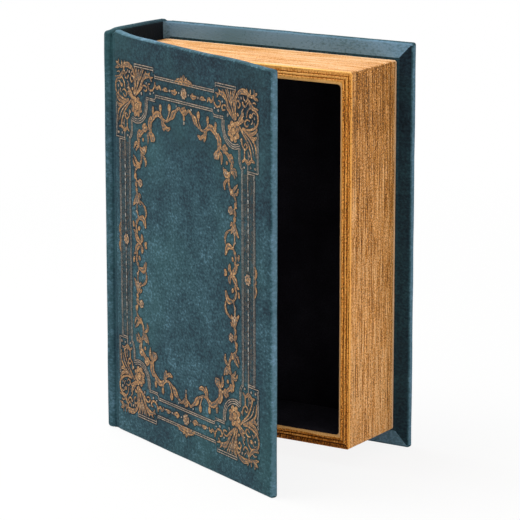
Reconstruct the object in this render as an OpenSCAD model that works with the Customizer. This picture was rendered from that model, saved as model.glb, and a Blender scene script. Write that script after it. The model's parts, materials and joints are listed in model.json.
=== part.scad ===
// Book box: a keepsake box made like a bound book, standing on its tail edges
// with its front cover ajar.
// Book axes used below: X runs from the spine's inner face to the fore edge,
// Y from the inner face of the shut front cover to the back cover, Z from tail to head.

/* [Covers] */
// Height of the covers, tail to head
book_height = 250; // [180:1:320]
// Width of a cover, spine inner face to fore edge
cover_width = 177.5; // [140:0.5:230]
// Thickness of the front and back boards
board_t = 3.2; // [2.2:0.1:4.5]
// Thickness of the spine board
spine_board_t = 4.65; // [3.6:0.05:6]
// Thickness of the velvet and of the liners that lie flush with it
velvet_t = 0.75; // [0.5:0.05:1]
// Radius of the softened edges of the front and back boards
board_round = 0.8; // [0.3:0.1:1]
// Radius of the softened edges of the spine board
spine_round = 1.6; // [0.6:0.1:1.7]
// Width of the velvet turned in over the boards' inner faces
turn_in = 14; // [11:1:20]

/* [Hinge] */
// Angle at which the front cover stands open
open_angle = 24.9; // [12:0.1:60]
// Width of the groove between the spine and a cover
groove_w = 2.3; // [1.8:0.1:6]
// Distance of the fold line in front of the shut cover's face
fold_relief = 0.3; // [0.2:0.05:0.6]
// Depth of the joint cloth's bed below the cover's face
joint_depth = 3; // [2.6:0.1:3.4]
// Thickness of the joint cloth
joint_t = 0.7; // [0.4:0.05:0.9]
// Length of bare board left at each end of a joint cloth
joint_end = 1.5; // [1:0.5:4]

/* [Tray] */
// Depth of the tray, rim to back cover
tray_depth = 54; // [30:1:90]
// Overhang of the covers past the tray at the head
head_overhang = 11; // [5:0.5:14]
// Overhang of the covers past the tray at the tail
tail_overhang = 11; // [5:0.5:14]
// Overhang of the covers past the tray at the fore edge
fore_overhang = 10.5; // [5:0.5:14]
// Thickness of the tray's four walls
wall_t = 5.9; // [5.5:0.1:10]
// Thickness of the tray's floor board
floor_t = 3; // [2:0.1:5]
// Gap between the tray's rim and the shut front cover
cover_gap = 0.3; // [0.2:0.05:1]

/* [Paper and lining] */
// Thickness of the gilt paper that looks like page edges
page_t = 0.8; // [0.4:0.05:1.2]
// Thickness of the flocked lining
lining_t = 0.8; // [0.4:0.05:1.2]
// Radius of the tray's outer corners
page_corner = 1.8; // [1:0.1:3]
// Radius of the rim's inner corners
rim_corner = 2.5; // [1:0.1:5]

/* [Magnets] */
// Diameter of the closing magnets in the tray's wall
magnet_d = 5; // [4:0.5:5.5]
// Length of the magnets in the tray's wall
magnet_l = 4; // [2:0.5:8]
// Diameter of the steel discs in the front board
disc_d = 8; // [6:0.5:10]
// Thickness of the steel discs in the front board
disc_t = 1; // [0.5:0.1:1.2]
// Distance of each magnet from the middle of the height
magnet_offset = 70; // [30:1:80]

/* [Gilt frame] */
// Thickness of the stamped foil
foil_t = 0.12; // [0.06:0.01:0.2]
// Half width of the gilt frame, to its outer rule
frame_half_w = 75; // [50:1:75]
// Half height of the gilt frame, to its outer rule
frame_half_h = 106; // [78:1:110]
// Distance of the gilt frame's middle from the middle of the cover's face
frame_shift = -7.5; // [-8.5:0.5:2]
// Width of a gilt rule
rule_w = 0.6; // [0.4:0.1:1]
// Width of the band between the outer and the inner rules
band_w = 12.5; // [10:0.5:14]
// Radius of a corner rosette
rosette_r = 6.5; // [4:0.5:7]
// Diameter of a bead in the gilt chains
bead_d = 1.6; // [1:0.1:2.4]
// Distance between two beads in the gilt chains
bead_step = 5.2; // [4:0.1:8]
// Radius of the gilt vine's largest flower
flower_r = 3.4; // [2:0.1:4]

/* [Hidden] */
$fn = 48;
// Small overlap that lets a cut pass right through
cut = 1;

// Thickness of a covered board, and of the covered spine
cover_t = board_t + 2 * velvet_t;
spine_t = spine_board_t + 2 * velvet_t;
// Outer face of the shut front cover, and inner face of the back cover
face_y = -cover_t;
back_y = cover_gap + tray_depth;
// Fold line of the front cover, over the hinge side edge of the cover, in book axes
fold = [groove_w, face_y - fold_relief];
// Outline of the tray in book axes
tray_x = cover_width - fore_overhang;
tray_low = tail_overhang;
tray_high = book_height - head_overhang;
rim_w = page_t + wall_t + lining_t;
// Fore edge corner of the open cover, where the part reaches furthest forward
cloth_round = board_round + velvet_t;
corner = [cover_width - cloth_round, face_y + cloth_round] - fold;
front_reach = fold[1] - corner[0] * sin(open_angle) + corner[1] * cos(open_angle) - cloth_round;
// Middle of the footprint, which is the part's origin
origin = [(cover_width - spine_t) / 2, (front_reach + back_y + cover_t) / 2];
// Middle of the gilt frame on the shut cover
frame_x = (groove_w + cover_width) / 2 + frame_shift;
frame_z = book_height / 2;

velvet = "#3a5c6b";
velvet_dark = "#24404d";
board_brown = "#8c6e4a";
page_gold = "#b98445";
lining_black = "#141416";
steel = "#a9adb0";
foil_gold = "#cd9a62";

// Book axes to the part's own frame
module stand() {
    translate([-origin[0], -origin[1], 0]) children();
}

// Swings what belongs to the front cover from shut to where it stands open
module opened() {
    translate([fold[0], fold[1], 0])
        rotate([0, 0, -open_angle])
            translate([-fold[0], -fold[1], 0])
                children();
}

// Rectangle between two corners, with its corners rounded by r
module round_rect(low, high, r) {
    size = high - low;
    translate(low) {
        translate([r, 0]) square([size[0] - 2 * r, size[1]]);
        translate([0, r]) square([size[0], size[1] - 2 * r]);
        for (x = [r, size[0] - r], y = [r, size[1] - r])
            translate([x, y]) circle(r);
    }
}

// Slab between two corners, with every edge rounded by r
module soft_slab(low, high, r) {
    intersection() {
        translate([0, 0, low[2]])
            linear_extrude(high[2] - low[2])
                round_rect([low[0], low[1]], [high[0], high[1]], r);
        translate([0, high[1], 0])
            rotate([90, 0, 0])
                linear_extrude(high[1] - low[1])
                    round_rect([low[0], low[2]], [high[0], high[2]], r);
        translate([low[0], 0, 0])
            rotate([90, 0, 90])
                linear_extrude(high[0] - low[0])
                    round_rect([low[1], low[2]], [high[1], high[2]], r);
    }
}

// Square-edged block between two corners
module block(low, high) {
    translate(low) cube(high - low);
}

// Board of one cover; its velvet starts at depth y
module cover_board(y) {
    soft_slab([groove_w + velvet_t, y + velvet_t, velvet_t],
              [cover_width - velvet_t, y + velvet_t + board_t, book_height - velvet_t],
              board_round);
}

// Sheet that fills the middle of a cover's inner face, between the turned-in edges
module cover_liner(y) {
    block([groove_w + turn_in / 2, y, turn_in],
          [cover_width - turn_in, y + velvet_t, book_height - turn_in]);
}

// Velvet round one cover: one face, four edges and the turned-in strips;
// liner_y is the depth at which the liner's recess starts
module cover_velvet(y, liner_y) {
    difference() {
        soft_slab([groove_w, y, 0], [cover_width, y + cover_t, book_height], cloth_round);
        cover_board(y);
        cover_liner(liner_y);
    }
}

// The tray's outline in X and Z, smaller all round by inset
module tray_outline(inset, r) {
    round_rect([inset, tray_low + inset], [tray_x - inset, tray_high - inset], r);
}

// Region in X and Z that belongs to one side of the tray, cut by its corner mitres
module mitred_side(side) {
    x0 = -cut;
    x1 = tray_x + cut;
    z0 = tray_low - cut;
    z1 = tray_high + cut;
    deep = rim_w + 2 * cut;
    if (side == "head") polygon([[x0, z1], [x1, z1], [x1 - deep, z1 - deep], [x0 + deep, z1 - deep]]);
    if (side == "tail") polygon([[x0, z0], [x1, z0], [x1 - deep, z0 + deep], [x0 + deep, z0 + deep]]);
    if (side == "fore") polygon([[x1, z0], [x1, z1], [x1 - deep, z1 - deep], [x1 - deep, z0 + deep]]);
    if (side == "spine") polygon([[x0, z0], [x0, z1], [x0 + deep, z1 - deep], [x0 + deep, z0 + deep]]);
}

// Extrudes an X and Z drawing from depth y0 to depth y1
module deep_extrude(y0, y1) {
    translate([0, y1, 0]) rotate([90, 0, 0]) linear_extrude(y1 - y0) children();
}

// Page paper of one side: a sheet over the wall's outside and a strip over its rim
module page_paper(side) {
    deep_extrude(cover_gap + page_t, back_y)
        intersection() {
            difference() {
                tray_outline(0, page_corner);
                tray_outline(page_t, page_corner - page_t);
            }
            mitred_side(side);
        }
    rim_strip(side);
}

// Page paper over the rim of one side
module rim_strip(side) {
    deep_extrude(cover_gap, cover_gap + page_t)
        intersection() {
            difference() {
                tray_outline(0, page_corner);
                tray_outline(rim_w, rim_corner);
            }
            mitred_side(side);
        }
}

// Centres of the tray's magnets along the height
function magnet_heights() = [for (s = [-1, 1]) book_height / 2 + s * magnet_offset];

// Middle of the fore edge wall's thickness
magnet_x = tray_x - page_t - wall_t / 2;

// Round pockets or discs over the fore edge wall, from depth y0 to depth y1
module magnet_rods(d, y0, y1) {
    for (z = magnet_heights())
        translate([magnet_x, y1, z]) rotate([90, 0, 0]) cylinder(d = d, h = y1 - y0);
}

// One wall of the tray, as deep as the page paper leaves room for
module tray_wall(low_x, high_x, low_z, high_z) {
    block([low_x, cover_gap + page_t, low_z], [high_x, back_y, high_z]);
}

// Limits of the tray's walls in X and Z
wall_x0 = 0;
wall_x1 = tray_x - page_t;
wall_z0 = tray_low + page_t;
wall_z1 = tray_high - page_t;
// Hollow inside the walls
hollow_x0 = wall_x0 + page_t + wall_t;
hollow_x1 = wall_x1 - wall_t;
hollow_z0 = wall_z0 + wall_t;
hollow_z1 = wall_z1 - wall_t;
// Depths of the lining's front edge and of the floor board
lining_y0 = cover_gap + page_t;
floor_y = back_y - floor_t;

// A tray wall with the corners that lie under the rounded paper rounded to match
module head_or_tail_wall(low_z, high_z) {
    intersection() {
        tray_wall(wall_x0, wall_x1, low_z, high_z);
        deep_extrude(cover_gap, back_y + cut)
            union() {
                tray_outline(page_t, page_corner - page_t);
                translate([0, wall_z0]) square([hollow_x0, wall_z1 - wall_z0]);
            }
    }
}

// Points along the bed of the joint cloth, between two ends
function bed(a, m, b, n) = [for (i = [0:n]) let (t = i / n)
    (1 - t) * (1 - t) * a + 2 * t * (1 - t) * m + t * t * b];

// A point on the open cover's hinge side edge, at a depth below its outer face
function edge_point(depth) = fold
    + (fold_relief + depth) * [sin(open_angle), cos(open_angle)];

// Strip of cloth that crosses a groove, from one edge to the other
module joint_strip(a0, a1, m0, m1, b0, b1) {
    steps = 8;
    outer = bed(a0, m0, b0, steps);
    inner = bed(a1, m1, b1, steps);
    translate([0, 0, joint_end])
        linear_extrude(book_height - 2 * joint_end)
            polygon(concat(outer, [for (i = [steps:-1:0]) inner[i]]));
}

module spine_board() {
    color(board_brown) stand()
        soft_slab([-spine_t + velvet_t, face_y + velvet_t, velvet_t],
                  [-velvet_t, back_y + cover_t - velvet_t, book_height - velvet_t],
                  spine_round);
}

// Space of the sheet on the spine's inner face
module spine_liner_space() {
    block([-velvet_t, 0, turn_in], [0, back_y, book_height - turn_in]);
}

module spine_liner() {
    color(velvet_dark) stand() spine_liner_space();
}

module spine_cloth() {
    color(velvet) stand()
        difference() {
            soft_slab([-spine_t, face_y, 0], [0, back_y + cover_t, book_height],
                      spine_round + velvet_t);
            soft_slab([-spine_t + velvet_t, face_y + velvet_t, velvet_t],
                      [-velvet_t, back_y + cover_t - velvet_t, book_height - velvet_t],
                      spine_round);
            spine_liner_space();
        }
}

module back_board() {
    color(board_brown) stand() cover_board(back_y);
}

module back_cloth() {
    color(velvet) stand() cover_velvet(back_y, back_y);
}

module back_liner() {
    color(velvet_dark) stand() cover_liner(back_y);
}

module back_joint_cloth() {
    bed_y = back_y + cover_t - joint_depth;
    color(velvet_dark) stand()
        joint_strip([0, bed_y], [0, bed_y - joint_t],
                    [groove_w / 2, bed_y], [groove_w / 2, bed_y - joint_t],
                    [groove_w, bed_y], [groove_w, bed_y - joint_t]);
}

module tray_head_wall() {
    color(board_brown) stand() head_or_tail_wall(hollow_z1, wall_z1);
}

module tray_tail_wall() {
    color(board_brown) stand() head_or_tail_wall(wall_z0, hollow_z0);
}

module tray_fore_edge_wall() {
    color(board_brown) stand()
        difference() {
            tray_wall(hollow_x1, wall_x1, hollow_z0, hollow_z1);
            magnet_rods(magnet_d, lining_y0 - cut, lining_y0 + magnet_l);
        }
}

module tray_spine_wall() {
    color(board_brown) stand() tray_wall(wall_x0, hollow_x0, hollow_z0, hollow_z1);
}

module tray_floor() {
    color(board_brown) stand()
        block([hollow_x0, floor_y, hollow_z0], [hollow_x1, back_y, hollow_z1]);
}

module head_pages() {
    color(page_gold) stand() page_paper("head");
}

module tail_pages() {
    color(page_gold) stand() page_paper("tail");
}

module fore_edge_pages() {
    color(page_gold) stand() page_paper("fore");
}

module spine_rim_pages() {
    color(page_gold) stand() rim_strip("spine");
}

module lining_head() {
    color(lining_black) stand()
        block([hollow_x0, lining_y0, hollow_z1 - lining_t], [hollow_x1, floor_y, hollow_z1]);
}

module lining_tail() {
    color(lining_black) stand()
        block([hollow_x0, lining_y0, hollow_z0], [hollow_x1, floor_y, hollow_z0 + lining_t]);
}

module lining_fore_edge() {
    color(lining_black) stand()
        block([hollow_x1 - lining_t, lining_y0, hollow_z0 + lining_t],
              [hollow_x1, floor_y, hollow_z1 - lining_t]);
}

module lining_spine() {
    color(lining_black) stand()
        block([hollow_x0, lining_y0, hollow_z0 + lining_t],
              [hollow_x0 + lining_t, floor_y, hollow_z1 - lining_t]);
}

module lining_floor() {
    color(lining_black) stand()
        block([hollow_x0 + lining_t, floor_y - lining_t, hollow_z0 + lining_t],
              [hollow_x1 - lining_t, floor_y, hollow_z1 - lining_t]);
}

module tray_magnets() {
    color(steel) stand() magnet_rods(magnet_d, lining_y0, lining_y0 + magnet_l);
}

module front_board() {
    color(board_brown) stand() opened()
        difference() {
            cover_board(face_y);
            magnet_rods(disc_d, -velvet_t - disc_t, 0);
        }
}

module front_cloth() {
    color(velvet) stand() opened() cover_velvet(face_y, -velvet_t);
}

module front_liner() {
    color(lining_black) stand() opened() cover_liner(-velvet_t);
}

module cover_discs() {
    color(steel) stand() opened() magnet_rods(disc_d, -velvet_t - disc_t, -velvet_t);
}

module front_joint_cloth() {
    bed_y = face_y + joint_depth;
    color(velvet_dark) stand()
        joint_strip([0, bed_y], [0, bed_y + joint_t],
                    [groove_w / 2, bed_y], [groove_w / 2, bed_y + joint_t],
                    edge_point(joint_depth), edge_point(joint_depth + joint_t));
}

// Flat gilt shapes, drawn for one quarter of the frame from its middle outwards

// A pair of rules along a line from a to b, level or upright
module double_rule(a, b) {
    gap = 2 * rule_w;
    along = b - a;
    for (k = [0, 1])
        if (along[0] > along[1])
            translate([a[0], a[1] - k * gap]) square([along[0], rule_w]);
        else
            translate([a[0] - k * gap, a[1]]) square([rule_w, along[1]]);
}

// A ring, open in its middle
module ring(r) {
    difference() {
        circle(r);
        circle(r - 2 * rule_w);
    }
}

// A flower or rosette: a ring of petals round an eye
module petals(r, count) {
    eye = r / 3;
    circle(eye);
    for (i = [0:count - 1])
        rotate(i * 360 / count) translate([r - eye, 0]) circle(eye * 0.75);
}

// One edge of a ribbon that tapers from width w0 to w1 along a path; side is 1 or -1
function ribbon_edge(path, w0, w1, side) = [for (i = [0:len(path) - 1]) let (
    last = len(path) - 1,
    ahead = path[min(i + 1, last)] - path[max(i - 1, 0)],
    across = [-ahead[1], ahead[0]] / norm(ahead))
    path[i] + side / 2 * (w0 + (w1 - w0) * i / last) * across];

module ribbon(path, w0, w1) {
    left = ribbon_edge(path, w0, w1, 1);
    right = ribbon_edge(path, w0, w1, -1);
    polygon(concat(left, [for (i = [len(right) - 1:-1:0]) right[i]]));
}

// A scroll that curls in from radius r
module scroll(r, turns) {
    steps = 14;
    ribbon([for (i = [0:steps]) let (t = i / steps, a = 360 * turns * t)
        r * (1 - 0.75 * t) * [cos(a), sin(a)]], 2.2 * rule_w, 0.8 * rule_w);
}

// A pointed leaf from the origin along X
module leaf(length, width) {
    r = (length * length / 4 + width * width / 4) / width;
    intersection() {
        translate([length / 2, width / 2 - r]) circle(r);
        translate([length / 2, r - width / 2]) circle(r);
    }
}

// A fan of leaves that opens round the direction middle
module leaf_fan(middle, spread, length, count) {
    for (i = [0:count - 1])
        rotate(middle + spread * (i / (count - 1) - 0.5))
            translate([length / 3, 0]) leaf(length, length / 4);
}

// Layout of the gilt frame, measured from its middle
// Inner rules, and the middle line of the band between the rules
inner_u = frame_half_w - band_w;
inner_v = frame_half_h - band_w;
band_u = frame_half_w - band_w / 2;
band_v = frame_half_h - band_w / 2;
// Clear space between a corner rosette and the inner rules, and the rosette's middle
rosette_gap = 2.6;
rosette_u = inner_u - rosette_gap - rosette_r;
rosette_v = inner_v - rosette_gap - rosette_r;
// Where the rules stop short of the corner's scrolls
stop_u = rosette_u - 3.5 * rosette_r;
stop_v = rosette_v - 2.8 * rosette_r;
// Distance by which the rules step out beside a corner
step_out = 2.8;
// Radii of the scrolls and of the small curls beside a corner
scroll_r = 3.4;
curl_r = 2.8;
// Distance of the vine's stem from the inner rules, and its swing to either side
vine_gap = 9.5;
vine_swing = 2.4;
// Length and width of a leaf on the vine
leaf_l = 4.5;
leaf_w = 1.8;

module gilt_rules() {
    double_rule([0, frame_half_h], [stop_u, frame_half_h]);
    double_rule([frame_half_w, 0], [frame_half_w, stop_v]);
    double_rule([0, inner_v], [stop_u, inner_v]);
    double_rule([inner_u, 0], [inner_u, stop_v]);
    double_rule([stop_u + step_out, frame_half_h + step_out], [rosette_u, frame_half_h + step_out]);
    double_rule([frame_half_w + step_out, stop_v + step_out], [frame_half_w + step_out, rosette_v]);
}

module gilt_beads() {
    for (u = [bead_step * 2 : bead_step : stop_u - bead_step])
        translate([u, band_v]) circle(d = bead_d);
    for (v = [bead_step * 2 : bead_step : stop_v - bead_step])
        translate([band_u, v]) circle(d = bead_d);
}

module gilt_corner() {
    translate([rosette_u, rosette_v]) {
        petals(rosette_r, 8);
        // Band that half rings the rosette on its inner side
        difference() {
            ring(rosette_r + 4);
            rotate(-45) translate([-1.5 * rosette_r, 0]) square(4 * rosette_r);
        }
        leaf_fan(68, 50, 1.6 * rosette_r, 3);
        leaf_fan(8, 40, 1.4 * rosette_r, 3);
    }
    // The large corner scroll, and the small ones beside it
    translate([band_u + rule_w, rosette_v + 1.4 * rosette_r]) {
        ring(0.6 * band_w);
        scroll(0.38 * band_w, 1.6);
    }
    translate([rosette_u - 2.5 * scroll_r, band_v - rule_w]) scroll(scroll_r, 1.4);
    translate([rosette_u - 5 * scroll_r, band_v + rule_w]) mirror([1, 0]) scroll(curl_r, 1.4);
    translate([band_u - rule_w, rosette_v - 2.2 * scroll_r]) scroll(scroll_r, 1.4);
    translate([band_u + 2 * rule_w, rosette_v - 4.4 * scroll_r]) mirror([0, 1]) scroll(curl_r, 1.4);
    translate([frame_half_w - leaf_l, frame_half_h]) leaf_fan(40, 90, leaf_l, 3);
}

// Vine inside the inner rules: a waving stem with flowers and leaves
module gilt_vine() {
    reach = stop_v - 2 * scroll_r;
    stem_u = inner_u - vine_gap;
    steps = 24;
    // The stem ends short of the flower at the side's middle
    ribbon([for (i = [0:steps]) let (t = i / steps)
        [stem_u + vine_swing * sin(540 * t), flower_r + (reach - flower_r) * (1 - t)]], rule_w, rule_w);
    for (i = [0:2]) {
        side = (i % 2 == 0) ? 1 : -1;
        translate([stem_u - side * vine_swing * 1.7, reach * (0.84 - i / 3)])
            petals(flower_r * (1 - 0.1 * i), 6);
        translate([stem_u + side * vine_swing * 1.7, reach * (0.8 - i / 3)])
            rotate(90 - side * 70) leaf(leaf_l, leaf_w);
        translate([stem_u + side * vine_swing * 1.9, reach * (0.72 - i / 3)]) circle(d = bead_d);
    }
    // Flowers and leaves along the head
    for (i = [0:2])
        translate([stop_u + (2 - 3 * i) * flower_r, inner_v - vine_gap + 2 * vine_swing * ((i + 1) % 2)])
            petals(flower_r * (0.9 - 0.1 * i), 6);
    for (i = [0:1])
        translate([stop_u - (3 * i - 0.7) * flower_r, inner_v - vine_gap])
            rotate(200 - 40 * i) leaf(leaf_l, leaf_w);
}

module gilt_quarter() {
    gilt_rules();
    gilt_beads();
    gilt_corner();
    gilt_vine();
}

// Crests at the middles of the frame's head, tail and sides
module gilt_crests() {
    for (s = [-1, 1]) {
        translate([0, s * band_v]) petals(band_w / 3, 8);
        translate([0, s * (inner_v - vine_gap + flower_r)]) petals(flower_r, 6);
        translate([s * band_u, 0]) petals(band_w / 4, 8);
        translate([s * (inner_u - vine_gap), 0]) petals(flower_r * 0.8, 6);
    }
}

module gilt_frame() {
    color(foil_gold) stand() opened()
        translate([frame_x, face_y, frame_z])
            rotate([90, 0, 0])
                linear_extrude(foil_t) {
                    for (mx = [0, 1], mz = [0, 1])
                        mirror([mx, 0]) mirror([0, mz]) gilt_quarter();
                    gilt_crests();
                }
}

spine_board();
spine_cloth();
spine_liner();
back_board();
back_cloth();
back_liner();
back_joint_cloth();
tray_head_wall();
tray_tail_wall();
tray_fore_edge_wall();
tray_spine_wall();
tray_floor();
head_pages();
tail_pages();
fore_edge_pages();
spine_rim_pages();
lining_head();
lining_tail();
lining_fore_edge();
lining_spine();
lining_floor();
tray_magnets();
front_board();
front_cloth();
front_liner();
cover_discs();
front_joint_cloth();
gilt_frame();
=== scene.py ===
import json
import math
import random

import bmesh
import bpy
from mathutils import Matrix, Vector, noise
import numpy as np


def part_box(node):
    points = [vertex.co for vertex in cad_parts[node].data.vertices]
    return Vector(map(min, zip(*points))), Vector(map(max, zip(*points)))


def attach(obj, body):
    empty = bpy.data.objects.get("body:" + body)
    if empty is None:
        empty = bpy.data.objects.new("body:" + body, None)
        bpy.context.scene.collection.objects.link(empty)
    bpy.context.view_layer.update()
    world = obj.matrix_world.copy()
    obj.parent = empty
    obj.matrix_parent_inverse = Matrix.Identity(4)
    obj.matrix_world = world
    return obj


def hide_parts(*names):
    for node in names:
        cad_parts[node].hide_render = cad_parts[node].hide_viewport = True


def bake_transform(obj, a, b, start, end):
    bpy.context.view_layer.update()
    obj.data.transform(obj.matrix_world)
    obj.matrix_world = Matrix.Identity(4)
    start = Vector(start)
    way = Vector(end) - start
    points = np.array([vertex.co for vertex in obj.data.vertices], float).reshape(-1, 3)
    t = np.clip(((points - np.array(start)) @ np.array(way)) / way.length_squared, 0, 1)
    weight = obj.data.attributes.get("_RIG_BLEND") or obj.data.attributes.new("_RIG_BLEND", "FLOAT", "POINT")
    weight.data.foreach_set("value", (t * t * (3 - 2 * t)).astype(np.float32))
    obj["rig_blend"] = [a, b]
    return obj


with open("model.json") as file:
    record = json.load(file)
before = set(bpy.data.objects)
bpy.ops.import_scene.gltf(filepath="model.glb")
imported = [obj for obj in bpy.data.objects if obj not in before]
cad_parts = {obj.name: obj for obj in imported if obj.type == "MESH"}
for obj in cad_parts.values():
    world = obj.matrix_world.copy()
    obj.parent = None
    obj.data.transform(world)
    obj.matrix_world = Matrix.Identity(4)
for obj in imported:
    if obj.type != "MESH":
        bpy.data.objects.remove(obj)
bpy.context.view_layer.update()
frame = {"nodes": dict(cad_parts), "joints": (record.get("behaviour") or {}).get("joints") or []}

# Where the book stands
# Sizes below are in book millimetres: X from the spine to the fore edge, Y from the shut front
# cover to the back cover, Z from tail to head. The back cover and the hinge say where that is.
groove = 2.3
back_y = 54.3
back_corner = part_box("back_cloth")[0]
standing = (Matrix.Translation(back_corner) @ Matrix.Scale(0.001, 4)
            @ Matrix.Translation((-groove, -back_y, 0)))
hinge = frame["joints"][0]
fold = Vector(hinge["pos_m"])
# Pieces of the front cover are made shut, then turned about the fold to where it stands ajar
ajar = (Matrix.Translation(fold) @ Matrix.Rotation(math.radians(hinge["range_deg"][0]), 4, "Z")
        @ Matrix.Translation(-fold) @ standing)

# Camera
# A long lens stands to the right of the box and a little above it, so that the front cover,
# the fore edge and a sliver of the head all show.
look_at = standing @ Vector((73.129, 49.613, 106.378))
turn = math.radians(32.167)
tilt = math.radians(12.799)
distance = 1.8477
towards_camera = Vector((math.sin(turn) * math.cos(tilt), -math.cos(turn) * math.cos(tilt), math.sin(tilt)))
camera = bpy.data.objects.new("camera", bpy.data.cameras.new("camera"))
camera.location = look_at + distance * towards_camera
camera.rotation_euler = towards_camera.to_track_quat("Z", "Y").to_euler()
camera.data.lens = 205.93
camera.data.clip_end = 20
bpy.context.scene.collection.objects.link(camera)
bpy.context.scene.camera = camera


# Covers and spine
# Three stiff boards are wrapped in teal velvet, which is turned in over their inner faces with
# mitred corners and glued down. Each turn-in and rolled edge has its own tone of painted sheen
# and shade, standing in for how the light falls on it.
def rolled_slab(low, high, roll, segments):
    """A board with velvet drawn round it: a slab whose edges all roll over."""
    bm = bmesh.new()
    bmesh.ops.create_cube(bm, size=1)
    bmesh.ops.translate(bm, vec=(0.5, 0.5, 0.5), verts=bm.verts)
    bmesh.ops.scale(bm, vec=Vector(high) - Vector(low), verts=bm.verts)
    bmesh.ops.translate(bm, vec=low, verts=bm.verts)
    bmesh.ops.bevel(bm, geom=bm.edges[:], affect="EDGES", offset=roll, segments=segments,
                    profile=0.5, material=-1)
    return bm


def widest_face(bm, direction):
    """The largest face that looks in a direction."""
    looking = [f for f in bm.faces if f.normal.dot(Vector(direction)) > 0.99]
    return max(looking, key=lambda f: f.calc_area())


def cut_in_rows(bm, direction, places):
    """Cuts the cloth in rows across a direction, so that it can give a little."""
    for place in places:
        bmesh.ops.bisect_plane(bm, geom=bm.verts[:] + bm.edges[:] + bm.faces[:], dist=0.0001,
                               plane_co=Vector(direction) * place, plane_no=direction)


def let_cloth_give(bm, wave, lift):
    """Raises and lowers the cloth a little, as it lies over paste and board."""
    bm.normal_update()
    shifts = [(v, v.normal * lift * noise.noise(v.co / wave)) for v in bm.verts]
    for v, shift in shifts:
        v.co += shift


def fade(value, start, end):
    """0 up to start, 1 from end on, and an even change between them."""
    return min(max((value - start) / (end - start), 0), 1)


def finish_piece(bm, name, place, material):
    """Turns a mesh in book millimetres into a piece in its place on the box."""
    bmesh.ops.transform(bm, matrix=place, verts=bm.verts)
    bmesh.ops.recalc_face_normals(bm, faces=bm.faces)
    mesh = bpy.data.meshes.new(name)
    bm.to_mesh(mesh)
    bm.free()
    mesh.materials.append(material)
    mesh.shade_smooth()
    mesh.set_sharp_from_angle(angle=math.radians(42))
    piece = bpy.data.objects.new(name, mesh)
    bpy.context.scene.collection.objects.link(piece)
    return piece


def srgb(code):
    """A hex colour as it is seen, turned into the linear numbers that shaders take."""
    seen = [int(code[i:i + 2], 16) / 255 for i in (1, 3, 5)]
    return [c / 12.92 if c <= 0.04045 else ((c + 0.055) / 1.055) ** 2.4 for c in seen] + [1.0]


def add_node(tree, kind, feeds=None, stops=None, **settings):
    """Adds a shader node with its settings, its colour stops and its inputs, which are numbers,
    colours, sockets or nodes whose first output is taken."""
    made = tree.nodes.new("ShaderNode" + kind)
    for name, value in settings.items():
        setattr(made, name, value)
    for name, value in (feeds or {}).items():
        if isinstance(value, bpy.types.Node):
            value = value.outputs[0]
        if isinstance(value, bpy.types.NodeSocket):
            tree.links.new(value, made.inputs[name])
        else:
            made.inputs[name].default_value = value
    if stops:
        made.color_ramp.elements[0].position = stops[0][0]
        made.color_ramp.elements[0].color = srgb(stops[0][1])
        made.color_ramp.elements[1].position = stops[-1][0]
        made.color_ramp.elements[1].color = srgb(stops[-1][1])
        for position, code in stops[1:-1]:
            made.color_ramp.elements.new(position).color = srgb(code)
    return made


def new_material(name, constants):
    """A material with the constants of its surface set on the shader's own sockets."""
    material = bpy.data.materials.new(name)
    material.use_nodes = True
    shader = material.node_tree.nodes["Principled BSDF"]
    for socket, value in constants.items():
        shader.inputs[socket].default_value = value
    return material, material.node_tree, shader


def give_finish(tree, shader, colour, relief, strength, depth=0.0004):
    """Links a finish's colour and its relief to the surface. strength is how much of the relief
    shows, and depth is its height in metres."""
    bump = add_node(tree, "Bump", {"Height": relief, "Strength": strength, "Distance": depth})
    tree.links.new(colour, shader.inputs["Base Color"])
    tree.links.new(bump.outputs[0], shader.inputs["Normal"])


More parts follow.
